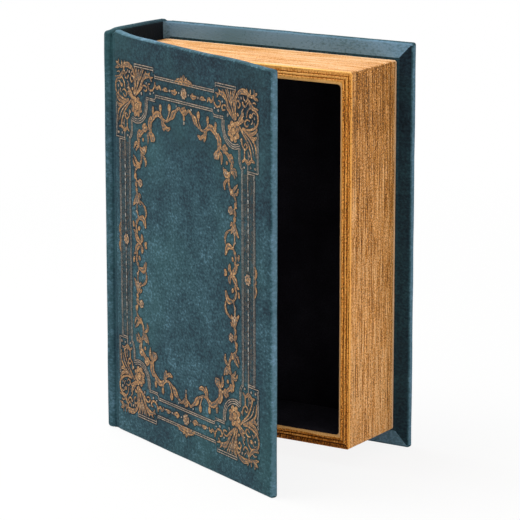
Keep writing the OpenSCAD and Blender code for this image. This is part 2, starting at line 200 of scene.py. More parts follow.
def velvet_material(name, tone_with_painted_light, mottling=1):
    """Cotton velvet with a short cut pile: matt and dark seen straight on, paler where it is seen
    along the pile, and clouded where hands have brushed it. tone_with_painted_light is a number,
    or None for the piece's own values: tones that hold painted sheen and shade. mottling is how
    much the cloth has been brushed about."""
    material, tree, shader = new_material(name, {
        "Roughness": 0.92, "Specular IOR Level": 0.15, "Sheen Weight": 0.2,
        "Sheen Roughness": 0.42, "Sheen Tint": srgb("#9cc2d4")})
    where = add_node(tree, "TexCoord").outputs["Object"]
    # Clouds of 30 mm, brush strokes of 14 by 5 mm, flecks of 1.9 by 1.4 mm and tufts of 0.8 mm;
    # real tufts are 0.2 mm and would not show
    cloud = add_node(tree, "TexNoise", {
        "Vector": where, "Scale": 33, "Detail": 3, "Roughness": 0.6, "Distortion": 0.4})
    turned = add_node(tree, "Mapping", {
        "Vector": where, "Rotation": (0.0, math.radians(28), 0.0), "Scale": (70, 110, 200)})
    strokes = add_node(tree, "TexNoise", {"Vector": turned, "Scale": 1, "Detail": 3, "Roughness": 0.55})
    pile_grid = add_node(tree, "Mapping", {"Vector": where, "Scale": (520, 520, 730)})
    flecks = add_node(tree, "TexNoise", {"Vector": pile_grid, "Scale": 1, "Detail": 3, "Roughness": 0.6})
    tufts = add_node(tree, "TexNoise", {"Vector": where, "Scale": 1250, "Detail": 2})
    # This tone holds painted sheen and shade: a fixed number, or the piece's own values
    painted_light_level = tone_with_painted_light
    if tone_with_painted_light is None:
        painted_light_level = add_node(tree, "Attribute", attribute_name="tone_with_painted_light").outputs["Fac"]
    mottle = -1.21
    for pattern, share in ((cloud, 0.78), (strokes, 0.3), (flecks, 1.35)):
        mottle = add_node(tree, "Math", {0: pattern, 1: share, 2: mottle}, operation="MULTIPLY_ADD")
    # Where the painted sheen is palest, it hides most of the mottling
    calm = add_node(tree, "MapRange", {0: painted_light_level, 1: 0.55, 2: 0.85, 3: mottling, 4: 0.4})
    tone = add_node(tree, "Math", {0: mottle, 1: calm, 2: painted_light_level}, operation="MULTIPLY_ADD")
    teal = add_node(tree, "ValToRGB", {"Fac": tone}, stops=[
        (0.0, "#060e18"), (0.25, "#182a34"), (0.42, "#203a43"), (0.5, "#26424a"),
        (0.62, "#314e57"), (0.75, "#476673"), (0.9, "#597989"), (1.0, "#6d8fa7")])
    # Dye takes a little greener in places about 60 mm across
    green = add_node(tree, "TexNoise", {"Vector": where, "Scale": 17, "Detail": 2})
    taken = add_node(tree, "MapRange", {"Value": green, "From Min": 0.45, "From Max": 0.75, "To Max": 0.4})
    dyed = add_node(tree, "Mix", {0: taken, 6: teal, 7: srgb("#2f5554")}, data_type="RGBA")
    pile = add_node(tree, "Math", {0: flecks, 1: tufts})
    give_finish(tree, shader, dyed.outputs[2], pile, 0.5)
    return material


velvet = velvet_material("teal_cotton_velvet", None)
# Hands brush the spine and the back cover less than the front
fresh_velvet = velvet_material("teal_cotton_velvet_little_touched", None, 0.65)
face_y = -4.7
height = 250
fore_edge = 177.5
turn_in = 14
cloth_roll = 1.55
sheet_depth = 0.75
cloth_wave = 19
cloth_lift = 0.16
row_step = 7


def covered_board(low, high, inner, full_head, tones_with_painted_light):
    """One cover: a rolled slab with four mitred turn-ins round a shallow bed for the liner.
    inner is 1 or -1, the way that the inner face looks; full_head is how far the cloth swells
    over the head, and how much stronger the painted shade and highlight by the head are;
    tones_with_painted_light gives each part's tone, with its painted sheen and shade."""
    bm = rolled_slab(low, high, cloth_roll, 5)
    tone_with_painted_light = bm.faces.layers.float.new("tone_with_painted_light")
    for face in bm.faces:
        across, up = face.normal.x, face.normal.z
        side = None
        if abs(across) > 0.1:
            side = "fore_edge" if across > 0 else "hinge"
        if abs(up) > 0.1:
            side = "head" if up > 0 else "tail"
        face[tone_with_painted_light] = tones_with_painted_light["face"]
        if side:
            # Round the rolled edge one painted tone fades into the next
            share = face.normal.y ** 2
            beside = tones_with_painted_light[side] if face.normal.y * inner > 0 else tones_with_painted_light["face"]
            face[tone_with_painted_light] = tones_with_painted_light[side + "_side"] * (1 - share) + beside * share
    bed = widest_face(bm, (0, inner, 0))
    margins = bmesh.ops.inset_region(bm, faces=[bed], thickness=turn_in - cloth_roll,
                                     use_boundary=True, use_even_offset=True)["faces"]
    for face in margins:
        out = face.calc_center_median() - bed.calc_center_median()
        if abs(out.z) / (high[2] - low[2]) > abs(out.x) / (high[0] - low[0]):
            face[tone_with_painted_light] = tones_with_painted_light["head"] if out.z > 0 else tones_with_painted_light["tail"]
        else:
            face[tone_with_painted_light] = tones_with_painted_light["fore_edge"] if out.x > 0 else tones_with_painted_light["hinge"]
    # Next to the hinge the turn-in is only half as wide
    for v in bed.verts:
        if v.co.x < low[0] + turn_in + 1:
            v.co.x = low[0] + turn_in / 2
    bmesh.ops.inset_region(bm, faces=[bed], thickness=0.12, depth=-sheet_depth,
                           use_boundary=True, use_even_offset=True)
    cut_in_rows(bm, (1, 0, 0), range(8, 174, row_step))
    cut_in_rows(bm, (0, 0, 1), range(6, 248, row_step))
    for face in bm.faces:
        centre = face.calc_center_median()
        if abs(face.normal.y) > 0.9:
            if face.normal.y * inner > 0 and centre.x < low[0] + turn_in:
                # The turn-ins at head and tail run on to the hinge without a mitre
                if centre.z > height - turn_in:
                    face[tone_with_painted_light] = tones_with_painted_light["head"]
                elif centre.z < turn_in:
                    face[tone_with_painted_light] = tones_with_painted_light["tail"]
            # Painted shade: the flat faces are painted darker towards the head and the fore edge
            face[tone_with_painted_light] -= (0.2 + 0.04 * full_head) * max(0, centre.z - 150) / 100
            face[tone_with_painted_light] -= 0.07 * centre.x / fore_edge
        elif face.normal.z > 0:
            # Painted highlight: over the head, next to the hinge where the cloth is drawn up, it is painted
            # paler
            face[tone_with_painted_light] += 0.24 * full_head * fade(centre.x, 60, 45)
    let_cloth_give(bm, cloth_wave, cloth_lift)
    for v in bm.verts:
        # Over the head the cloth lies fuller: next to the hinge, and where the corner is folded in
        fuller = 0.3 + 1.5 * math.exp(-(v.co.x / 12) ** 2) + 0.8 * math.exp(-((v.co.x - 138) / 30) ** 2)
        v.co.z += full_head * fuller * fade(v.co.z, 244, 249)
    return bm


# Painted sheen and shade: each part's tone stands in for the light on it, and the rolled fore edge is
# painted pale as a highlight
front = covered_board((groove, face_y, 0), (fore_edge, 0, height), 1, 1, {
    "face": 0.51, "head_side": 0.72, "tail_side": 0.42, "fore_edge_side": 0.86, "hinge_side": 0.42,
    "head": 0.62, "tail": 0.5, "fore_edge": 0.4, "hinge": 0.42})
front_velvet = finish_piece(front, "front_velvet", ajar, velvet)
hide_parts("front_cloth")
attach(front_velvet, "front_cover")

back_outer = back_y - face_y
# Painted light and shade: the head and tail turn-ins are painted pale as if lit, and the fore edge turn-in
# dark, in the tray's shade
back = covered_board((groove, back_y, 0), (fore_edge, back_outer, height), -1, 0, {
    "face": 0.5, "head_side": 0.6, "tail_side": 0.42, "fore_edge_side": 0.88, "hinge_side": 0.42,
    "head": 1.24, "tail": 0.98, "fore_edge": 0.4, "hinge": 0.4})
# Painted shadow: a dark line is painted on the velvet round the tray
tray_x = 167
tray_low = 11
tray_high = 239
painted_shadow_w = 1.4
cut_in_rows(back, (1, 0, 0), [tray_x + painted_shadow_w])
cut_in_rows(back, (0, 0, 1), [tray_low - painted_shadow_w, tray_high + painted_shadow_w])
back_tone_with_painted_light = back.faces.layers.float["tone_with_painted_light"]
for face in back.faces:
    centre = face.calc_center_median()
    beside = centre.x < tray_x + painted_shadow_w and tray_low - painted_shadow_w < centre.z < tray_high + painted_shadow_w
    if beside and face.normal.y < -0.9:
        face[back_tone_with_painted_light] = 0.42
back_velvet = finish_piece(back, "back_velvet", standing, fresh_velvet)
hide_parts("back_cloth")
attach(back_velvet, "case")

spine_t = 6.15
spine_roll = 2.35
spine = rolled_slab((-spine_t, face_y, 0), (0, back_outer, height), spine_roll, 6)
spine_tone_with_painted_light = spine.faces.layers.float.new("tone_with_painted_light")
for face in spine.faces:
    face[spine_tone_with_painted_light] = 0.62
    # Painted shade: the inner face, in the tray's shadow, is painted darkest
    if face.normal.x > 0.9:
        face[spine_tone_with_painted_light] = 0
cut_in_rows(spine, (0, 1, 0), range(0, 57, 6))
cut_in_rows(spine, (0, 0, 1), range(6, 248, row_step))
# Painted shade: the spine is painted darker towards the head
for face in spine.faces:
    face[spine_tone_with_painted_light] -= 0.16 * max(0, face.calc_center_median().z - 200) / 50
let_cloth_give(spine, cloth_wave, cloth_lift)
# The velvet turned in over the spine's head makes a soft cap, fullest near the front joint
for v in spine.verts:
    if v.co.z > 240:
        along = fade(v.co.y, face_y, back_outer)
        cap = fade(along, 0.08, 0.18) * (1 - along ** 1.6)
        v.co.z += (v.co.z - 240) / 10 * (0.65 + cap)
spine_velvet = finish_piece(spine, "spine_velvet", standing, fresh_velvet)
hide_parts("spine_cloth")
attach(spine_velvet, "case")


# Joints
# The velvet runs on from the spine to each cover in a shallow groove. The front one is the hinge:
# nothing but the cloth bends there.
joint_t = 0.7
# Painted shade: the velvet in the joints has a fixed darker tone, for the shade in the crease
shaded_joint_velvet = velvet_material("teal_cotton_velvet_with_painted_shade_in_the_joint", 0.42, 0.65)


def along_line(knots, share):
    """A point on the smooth line through some knots, at a share of the way along them."""
    span = min(int(share * (len(knots) - 1)), len(knots) - 2)
    t = share * (len(knots) - 1) - span
    a, b = Vector(knots[span]), Vector(knots[span + 1])
    before = Vector(knots[span - 1]) if span else 2 * a - b
    after = Vector(knots[span + 2]) if span + 2 < len(knots) else 2 * b - a
    return 0.5 * (2 * a + (b - before) * t + (2 * before - 5 * a + 4 * b - after) * t * t
                  + (3 * a - before - 3 * b + after) * t ** 3)


def joint_strip(knots, inwards, low, high, end_roll):
    """A strip of cloth along the spine from low to high, bedded on the knots and turned in at its
    two ends."""
    bm = bmesh.new()
    bmesh.ops.create_grid(bm, x_segments=14, y_segments=max(8, round((high - low) / 4)), size=1)
    for v in bm.verts:
        x, y = along_line(knots, (v.co.x + 1) / 2)
        z = (low + high) / 2 + v.co.y * (high - low) / 2
        from_end = max(min(z - low, high - z), 0)
        sunk = 0
        if from_end < end_roll:
            sunk = end_roll - math.sqrt(end_roll ** 2 - (end_roll - from_end) ** 2)
        v.co = (x, y + inwards * sunk, z)
    bmesh.ops.recalc_face_normals(bm, faces=bm.faces)
    outer = bm.faces[:]
    if outer[0].normal.y * inwards > 0:
        bmesh.ops.reverse_faces(bm, faces=outer)
    bmesh.ops.solidify(bm, geom=outer, thickness=joint_t)
    return bm


front_knots = [(-1.0, -4.15), (-0.35, -3.75), (0.5, -3.55), (1.4, -3.95), (2.3, -4.45), (3.2, -4.68)]
front_joint = joint_strip(front_knots, 1, 0.2, height - 0.2, 1.0)
front_joint_velvet = finish_piece(front_joint, "front_joint_velvet", standing, shaded_joint_velvet)
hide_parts("front_joint_cloth")
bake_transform(front_joint_velvet, "case", "front_cover",
         start=standing @ Vector((-0.2, -4, 125)), end=standing @ Vector((2.6, -4, 125)))

back_knots = [(-1.0, back_outer - 0.55), (-0.2, back_outer - 1.2), (0.7, back_outer - 1.5),
              (1.6, back_outer - 1.45), (2.5, back_outer - 1.1), (3.3, back_outer - 0.45)]
back_joint = joint_strip(back_knots, -1, 0.5, height - 0.1, 1.2)
back_joint_velvet = finish_piece(back_joint, "back_joint_velvet", standing, shaded_joint_velvet)
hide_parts("back_joint_cloth")
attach(back_joint_velvet, "case")

# Inside, the turned-in velvet runs across both joints: along the whole front one, and past the
# tray's head and tail at the back one
inner_knots = [(0.05, -0.6), (0.6, -1.9), (1.8, -2.3), (3.1, -1.7), (4.25, -0.65)]
inner_joint = joint_strip(inner_knots, -1, 0.8, height - 0.8, 0.6)
inner_joint_velvet = finish_piece(inner_joint, "inner_joint_velvet", standing, shaded_joint_velvet)
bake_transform(inner_joint_velvet, "case", "front_cover",
         start=standing @ Vector((0.6, -4, 125)), end=standing @ Vector((4, -4, 125)))
flap_knots = [(0.02, 52.2), (0.35, 53.4), (1.3, 54.0), (2.6, 54.15), (4.2, 54.2)]
# Painted light: the head turn-in is painted paler than the tail one
for end, low, high, painted_light_level in (("head", 238.8, 249.8, 1.0), ("tail", 0.8, 11.2, 0.8)):
    flap = joint_strip(flap_knots, 1, low, high, 0.6)
    flap_tone_with_painted_light = flap.faces.layers.float.new("tone_with_painted_light")
    for face in flap.faces:
        face[flap_tone_with_painted_light] = painted_light_level
    flap_velvet = finish_piece(flap, end + "_turn_in_velvet", standing, fresh_velvet)
    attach(flap_velvet, "case")


# Gilt ornament
# Copper-gold foil is stamped into the front velvet with a heated brass block, which presses the
# pile down round it. A quarter is laid out in millimetres from the frame's middle, then mirrored.
def lay_stroke(bm, knots, widths, grow, lift):
    """A stroke along a smooth line, as wide as widths say at its start, middle and end."""
    reach = sum((Vector(b) - Vector(a)).length for a, b in zip(knots, knots[1:]))
    step = 1.3 if len(knots) > 2 else 5
    steps = max(2, round(reach / step))
    crown = 0.1 if max(widths) > 0.8 else 0
    vein = bm.verts.layers.float["vein"]
    solid = bm.verts.layers.float["solid"]
    made = bmesh.ops.create_grid(bm, x_segments=steps, y_segments=2, size=1)["verts"]
    for v in made:
        # Wide strokes have a vein down the middle, and thin ones have lost most of their lacquer
        v[vein] = (1 - abs(round(v.co.y))) * (max(widths) > 1.5)
        v[solid] = fade(max(widths), 0.3, 1.1)
        share = (v.co.x + 1) / 2
        here = along_line(knots, share)
        ahead = along_line(knots, min(share + 0.02, 1)) - along_line(knots, max(share - 0.02, 0))
        across = Vector((-ahead.y, ahead.x)).normalized()
        tip = widths[0] if share < 0.5 else widths[2]
        width = tip + (widths[1] - tip) * math.sin(math.pi * share) + grow
        here += across * width / 2 * v.co.y + ahead.normalized() * grow / 2 * round(v.co.x, 6) ** 9
        v.co = (here.x, here.y, lift + crown * (1 - abs(v.co.y)))


def lay_bead(bm, at, long, wide, angle, grow, lift):
    """A domed bead, bud or petal that lies along an angle in degrees."""
    place = (Matrix.Translation((at[0], at[1], lift)) @ Matrix.Rotation(math.radians(angle), 4, "Z")
             @ Matrix.Diagonal((long + grow / 2, wide + grow / 2, 1, 1)))
    solid = bm.verts.layers.float["solid"]
    made = bmesh.ops.create_circle(bm, cap_ends=True, cap_tris=True, segments=8, radius=1,
                                   matrix=place)["verts"]
    for v in made:
        v[solid] = fade(2 * wide, 1.4, 2.2)
        if (v.co.xy - Vector(at)).length < 0.01:
            v.co.z += 0.12


def lay_flower(bm, at, radius, petals, grow, lift):
    """Petals round an eye."""
    for i in range(petals):
        turned = math.radians(360 * i / petals + 20)
        petal = (at[0] + radius * 0.69 * math.cos(turned), at[1] + radius * 0.69 * math.sin(turned))
        lay_bead(bm, petal, radius * 0.31, radius * 2.2 / petals, math.degrees(turned), grow, lift)
    lay_bead(bm, at, radius * 0.36, radius * 0.36, 0, grow, lift + 0.05)


frame_middle = (83.7, 124.6)
foil_t = 0.09
# Upright rules are two thirds as wide as level ones
rule_w = 0.58
upright_share = 0.66
# Straight and stepped rules
rules = [
    [(0, 105.2), (33.5, 105.2)], [(0, 104), (33.5, 104)], [(33.6, 104), (33.6, 106.2)],
    [(35.6, 109.9), (57.4, 109.9)], [(35.6, 108.4), (57.4, 108.4)], [(35.4, 110.1), (35.4, 107.2)],
    [(57.6, 110.1), (57.6, 107.6)], [(0, 93.9), (32, 93.9)], [(0, 92.7), (32, 92.7)],
    [(32.2, 94), (34, 91.2), (44, 91.2)], [(33.4, 90), (43.6, 90)],
    [(43.7, 90.6), (43.8, 84.9), (45.9, 79.8), (50.4, 76.4), (55.7, 75.2), (61.7, 76.6)],
    [(42.6, 90), (42.7, 84.6), (45, 78.9), (50, 75.2), (55.8, 74), (60.8, 75)],
    [(45, 89.4), (45, 85.2), (46.9, 80.7), (50.9, 77.6), (55.7, 76.5), (60.2, 77.4)],
    [(60.8, 75.4), (60.8, 69), (61.6, 65.6), (63.8, 63.2)],
    [(62, 75.8), (62, 69.4), (62.8, 66.2), (65, 63.4)], [(63.8, 63.2), (63.8, 0)], [(65, 63.4), (65, 0)],
    [(80.2, 86.5), (80.2, 64)], [(81.3, 86.5), (81.3, 63)], [(69.8, 63), (81.3, 63)],
    [(69.8, 61.8), (77.6, 61.8)], [(77.6, 61.8), (77.6, 8)], [(76.4, 61.8), (76.4, 0)],
    [(70.4, 67.5), (70.5, 51.5)], [(70.6, 51.5), (70.6, 4.4)]]
# Scrolls, leaves and stems: widths at start, middle and end, then the knots of the line
strokes = [
    # Crest on the outer rule, and the end of the chain
    ((0.6, 2.4, 0.3), (10.6, 104.6), (5.5, 106.4), (1.8, 106.6), (0.3, 109.9)),
    ((1.6, 2, 0.4), (0, 105.4), (4, 104.6), (8.6, 106.8)), ((1.4, 1, 0.3), (1.2, 106), (3.4, 108.6)),
    ((0.8, 1.7, 0.8), (26.4, 97.4), (28.2, 99.8), (30.8, 98), (33.4, 100.6)),
    ((0.5, 2.9, 0.5), (7.6, 98.8), (10.8, 98), (14.8, 98.8)),
    ((0.5, 2.5, 0.5), (18, 98), (20.8, 98.7), (24, 98)),
    ((0.7, 1.3, 0.6), (33, 101.8), (34.2, 98), (37.2, 96), (40.4, 96.8), (41.2, 99.2), (38.8, 99.9)),
    # Trumpet that opens towards the head, and its leaves to either side
    ((1, 1.2, 1.6), (46.8, 107.6), (49.8, 102.5), (53.1, 98.5), (55, 94.7), (57.2, 90.6)),
    ((0.5, 0.8, 0.4), (48.8, 107.6), (51.3, 102.8), (54, 98.9)),
    ((1, 1.1, 1.4), (57.2, 108), (55.5, 104.4), (55.6, 100.5), (56.6, 95.7)),
    ((0.6, 1.8, 0.4), (52.2, 107.4), (52.4, 103.4), (53.6, 99.2)),
    ((0.5, 0.8, 0.4), (55, 107.6), (54, 104), (54.6, 100.2)),
    ((1.2, 1.9, 0.8), (56.1, 91), (50.5, 96.7), (47.7, 101.2), (44.6, 104), (40, 104.4), (37, 101.4)),
    ((1, 3.6, 0.6), (47.4, 101.2), (44.2, 104.2), (39, 104.2)),
    ((1.5, 1.2, 0.3), (44.6, 104.6), (43.6, 107)), ((1.5, 1.2, 0.3), (41, 104.8), (38.8, 106.8)),
    ((1.4, 1.1, 0.3), (38.4, 103.4), (35.4, 104.2)),
    ((1.2, 1, 0.9), (55, 91.6), (49.7, 95.3), (46.7, 98), (43.2, 97.4), (43.4, 95), (46.6, 95.4)),
    ((1.2, 1.9, 0.9), (56.9, 95.6), (57, 100.5), (57.6, 103.6), (61, 107.4), (65.5, 109.2),
     (69.4, 108.2), (70.8, 105.1), (67.9, 102.4)),
    ((0.8, 3, 0.8), (61, 106.4), (65.2, 108.2), (69.4, 107)),
    ((1.3, 1.2, 0.6), (65, 102.4), (66.2, 100.3), (68.6, 100.2), (71, 103)),
    ((1.3, 1.1, 0.7), (57.4, 93), (57.3, 97.5), (58.2, 101.4), (60.6, 102.4), (62.5, 100.4),
     (60.9, 98.3), (59.8, 99.8)),
    # Sprig and leaf in the corner
    ((0.5, 1.7, 0.5), (69.2, 110.6), (70.8, 107.8), (74.3, 106.4), (77.2, 107.7), (77.1, 110.8)),
    ((1, 1.9, 0.5), (76.8, 107.4), (80.8, 109)), ((0.9, 2.1, 0.6), (75.6, 106.6), (81.6, 105)),
    ((0.8, 2.8, 0.6), (71.2, 104.6), (73.4, 101.9), (76.5, 99.8), (81.8, 99.8)),
    ((0.6, 0.9, 0.5), (66.4, 98.6), (64.6, 97.2), (64.8, 94.8), (66.8, 94.2)),
    ((0.5, 0.9, 0.5), (59.6, 105), (61.6, 103.9), (61.2, 102)),
    ((0.5, 0.9, 0.5), (66, 105.6), (66.4, 104), (68, 103.4)),
    ((0.5, 1.2, 0.9), (73.4, 110.4), (73, 107.4)),
    ((0.5, 1, 0.5), (79.4, 102.6), (77.4, 103.4), (75.6, 102.6)),
    ((0.5, 0.9, 0.5), (79.2, 96.6), (77.4, 97.6), (75.4, 96.6), (75.6, 94.8)),
    ((0.5, 1, 0.5), (80, 88.4), (78, 90), (77.2, 92)),
    ((0.5, 0.8, 0.5), (74, 90.6), (75.6, 91.8), (75.4, 93.2)),
    # Ring scroll beside the rosette
    ((0.7, 1.4, 1.2), (69.4, 93.6), (70.4, 97.4), (73.4, 99.9), (77.2, 99.6), (80.4, 97.6),
     (81.6, 94.4), (80.4, 90.8), (75.8, 88.1), (69.9, 86.8), (64.7, 87.4)),
    ((0.8, 1.1, 0.6), (72.8, 92.2), (70.2, 92.9), (67.6, 91.3), (67.8, 89.2), (70, 88.8), (71.6, 90.4)),
    ((1.4, 2.6, 0.4), (60.5, 90.5), (63.5, 93), (66.2, 96.4)),
    ((1.2, 2.2, 0.6), (61, 89), (64.5, 91.3), (66.6, 91.6)),
    # Trumpet that opens towards the fore edge, and the scrolls under it
    ((1.2, 1.2, 1.1), (61.6, 87.6), (66.9, 82.8), (70.6, 79.2), (73.6, 74.1), (74.8, 69.6)),
    ((1.2, 1.4, 0.6), (64.6, 87.2), (72.8, 83.2), (77.4, 80), (79, 76.6), (79.2, 71.6)),
    ((0.5, 0.9, 0.4), (63.5, 86.6), (70.6, 82), (74.6, 78.6), (77, 73.2)),
    ((1, 2, 0.5), (69.1, 85.2), (75, 85.2), (78.7, 86.9), (81, 89.2)),
    ((0.8, 2.2, 0.4), (72.5, 83.8), (77.2, 82.6), (80, 84.2)),
    ((0.7, 1.1, 0.7), (64, 81.4), (64.4, 77.4), (67.4, 75.2), (69.8, 77), (68.2, 78.8), (66.6, 77.4)),
    ((0.9, 1.1, 1), (67, 75.1), (67, 71.6), (66.7, 68.8)),
    ((1.1, 2, 1.1), (64.2, 67.8), (67.6, 69.4), (70.6, 67.6), (74, 69.6), (77.6, 69.2)),
    ((0.7, 0.9, 0.5), (70.6, 74.6), (71.2, 71.6), (70.4, 69)),
    # Garland along the head
    ((0.9, 1.7, 1.7), (2.6, 87), (5, 89.4), (7.8, 88.3), (13.2, 83.8)),
    ((1.5, 4.4, 1.5), (9.6, 87.4), (12.6, 84.6), (14.6, 81.8)),
    ((1.7, 1.3, 1.7), (13.2, 83.2), (20.1, 79.8), (25.7, 80.9)),
    ((2, 3.7, 2), (24.6, 80.6), (29.4, 83), (33.8, 81.4), (37.6, 77.6)),
    ((1.7, 3.3, 1.1), (25, 80.4), (23.8, 77), (22.8, 73.4)),
    ((1.1, 2.7, 1), (22.6, 77.4), (19.2, 75.2), (15.6, 76.2)),
    ((0.9, 0.9, 1), (16.6, 86), (17.6, 83.4), (19.6, 80.6)), ((1, 0.9, 1), (27, 84.8), (26.2, 82.4)),
    ((1, 1, 1), (35.6, 82.6), (35.2, 80)), ((1.7, 4.4, 2.2), (37.6, 80.4), (39.6, 76), (39, 71)),
    ((2, 3.7, 0.9), (39.4, 71.4), (37.8, 68.4), (38.2, 65)),
    ((1.5, 2.4, 0.6), (40, 70), (42, 67.6), (41.8, 63)),
    ((1.2, 2.2, 0.6), (38, 70), (35.6, 68.8), (34, 66)),
    # Vine down the side
    ((1.2, 2.7, 1.1), (41, 72.6), (46, 71.2), (50, 68.6), (53.8, 66.4), (52.8, 63), (52.1, 60)),
    ((1.2, 3.4, 0.7), (51.6, 59.6), (47, 57.4), (43.8, 61.6)),
    ((1, 2.1, 0.7), (52.4, 60.6), (56.4, 61.8), (58.8, 58.2)),
    ((1, 1.8, 0.6), (52.2, 60), (55, 59.2), (56.6, 56.6)),
    ((1, 1.8, 1), (51.4, 58.8), (49.9, 56.2), (50, 52.2), (52.7, 48.2), (56, 46.2), (58.2, 42.8)),
    ((0.7, 2.2, 0.5), (49.6, 55.4), (46.2, 53.6), (44.8, 51.2), (45.6, 48.6)),
    ((1, 2.1, 0.5), (54.4, 47.4), (56, 50.6), (59.6, 53.8)),
    ((0.9, 1.8, 0.5), (54.8, 47.2), (58.6, 48.2), (60.4, 51.6)),
    ((0.9, 1.1, 0.9), (57.4, 42.6), (55.8, 37.8), (56.2, 34)),
    ((1, 1.7, 0.6), (54.8, 38.6), (57, 36.8), (57.4, 34.8)),
    ((0.9, 2.6, 0.7), (56.2, 32.4), (54.6, 28.6), (52, 24)),
    ((1, 2.7, 0.9), (56, 30.6), (57.2, 26.6), (60.4, 22.8)), ((1, 1.8, 0.6), (53.4, 31), (51.2, 28.4)),
    ((0.7, 1.8, 0.5), (52, 26.4), (47, 23.6), (45.3, 19.8), (46.3, 16.4)),
    ((1, 1, 1), (56, 24.6), (55.8, 20), (54.2, 15.6)),
    ((1.2, 3.7, 1.2), (54, 15.6), (48.6, 16), (45.8, 10.6)),
    ((1, 2, 1), (54, 15.6), (56.2, 13), (57.6, 9.4)),
    ((1, 1.6, 1.2), (57.6, 9.6), (56.2, 7), (57.8, 4.2)), ((0.9, 1.6, 0.5), (57.6, 6.6), (60.6, 7.4)),
    ((1.5, 3.9, 1.1), (53, 0.8), (56, 2.6), (58.4, 6)),
    ((1.2, 2.9, 0.9), (52, 0.8), (50.2, 3), (50.8, 6)),
    # Crest at the fore edge's middle
    ((0.6, 2.2, 0.8), (77.5, 9.4), (79, 5), (77.4, 1.4)), ((0.8, 1.4, 2), (77.6, 2.6), (78.6, 0))]
# Beads, buds and petals: place, half length, half width and angle
beads = [
    ((5.4, 98.6), 0.7, 0.6, 0), ((10.2, 98.9), 1.3, 1.5, 20), ((16.2, 98.5), 0.8, 0.8, 0),
    ((21.8, 98.7), 1.2, 1.3, 0), ((24.6, 98.3), 0.6, 0.6, 0), ((38.8, 94), 0.9, 0.8, 0),
    ((49.2, 92.9), 1.1, 0.8, 70), ((34.6, 95), 0.7, 0.6, 0), ((43.2, 99.8), 0.8, 0.7, 0),
    ((63.6, 104.4), 0.9, 0.9, 0), ((73.6, 95.3), 1.5, 1.3, 30), ((77.8, 94.4), 0.7, 0.9, 0),
    ((60, 89.2), 1.7, 1.6, 0), ((57.6, 92.3), 1.2, 1.4, 0), ((59.8, 94.4), 1, 1.2, 60),
    ((63.2, 80.1), 1.1, 1, 0), ((72.6, 72), 0.6, 0.9, 0), ((66.6, 65), 0.8, 0.8, 0),
    ((73.6, 65.8), 0.8, 0.8, 0), ((78.2, 65.6), 1, 0.9, 0), ((16.6, 88.2), 2.5, 1.8, 90),
    ((27, 86.9), 2.4, 1.4, 90), ((35.6, 84.6), 2.4, 1.3, 95), ((8.4, 90.4), 0.7, 0.7, 0),
    ((53, 48.4), 2.2, 1.4, 60), ((57.4, 41.3), 2, 1.4, 100), ((56.2, 33), 1.6, 1.3, 90),
    ((47.9, 64.8), 1.1, 1.2, 0), ((56.4, 19.4), 0.9, 0.9, 0), ((53.6, 9.3), 1.6, 1.2, 120),
    ((60.3, 11), 2, 1.1, 80), ((46, 0.9), 1.7, 1.2, 150)]
flowers = [
    ((45.8, 72.4), 3, 5), ((35.8, 67.2), 2.4, 5), ((52, 68), 2.7, 5), ((46.7, 58.6), 2.4, 5),
    ((51.8, 37.6), 2.7, 6), ((55.7, 26.4), 2.6, 6)]
# Down each side runs a chain of long beads on a thin line, over a ground of shading lines
chain_x = 70.6
for i in range(11):
    beads.append(((chain_x, 6.4 + 4.3 * i + 0.5 * (i % 2)), 1.5 - 0.5 * (i % 3 == 1), 0.68, 90))
shade_w = 0.1
shade_places = [66.4 + 1.05 * i for i in range(9)]
drawn_side = 25


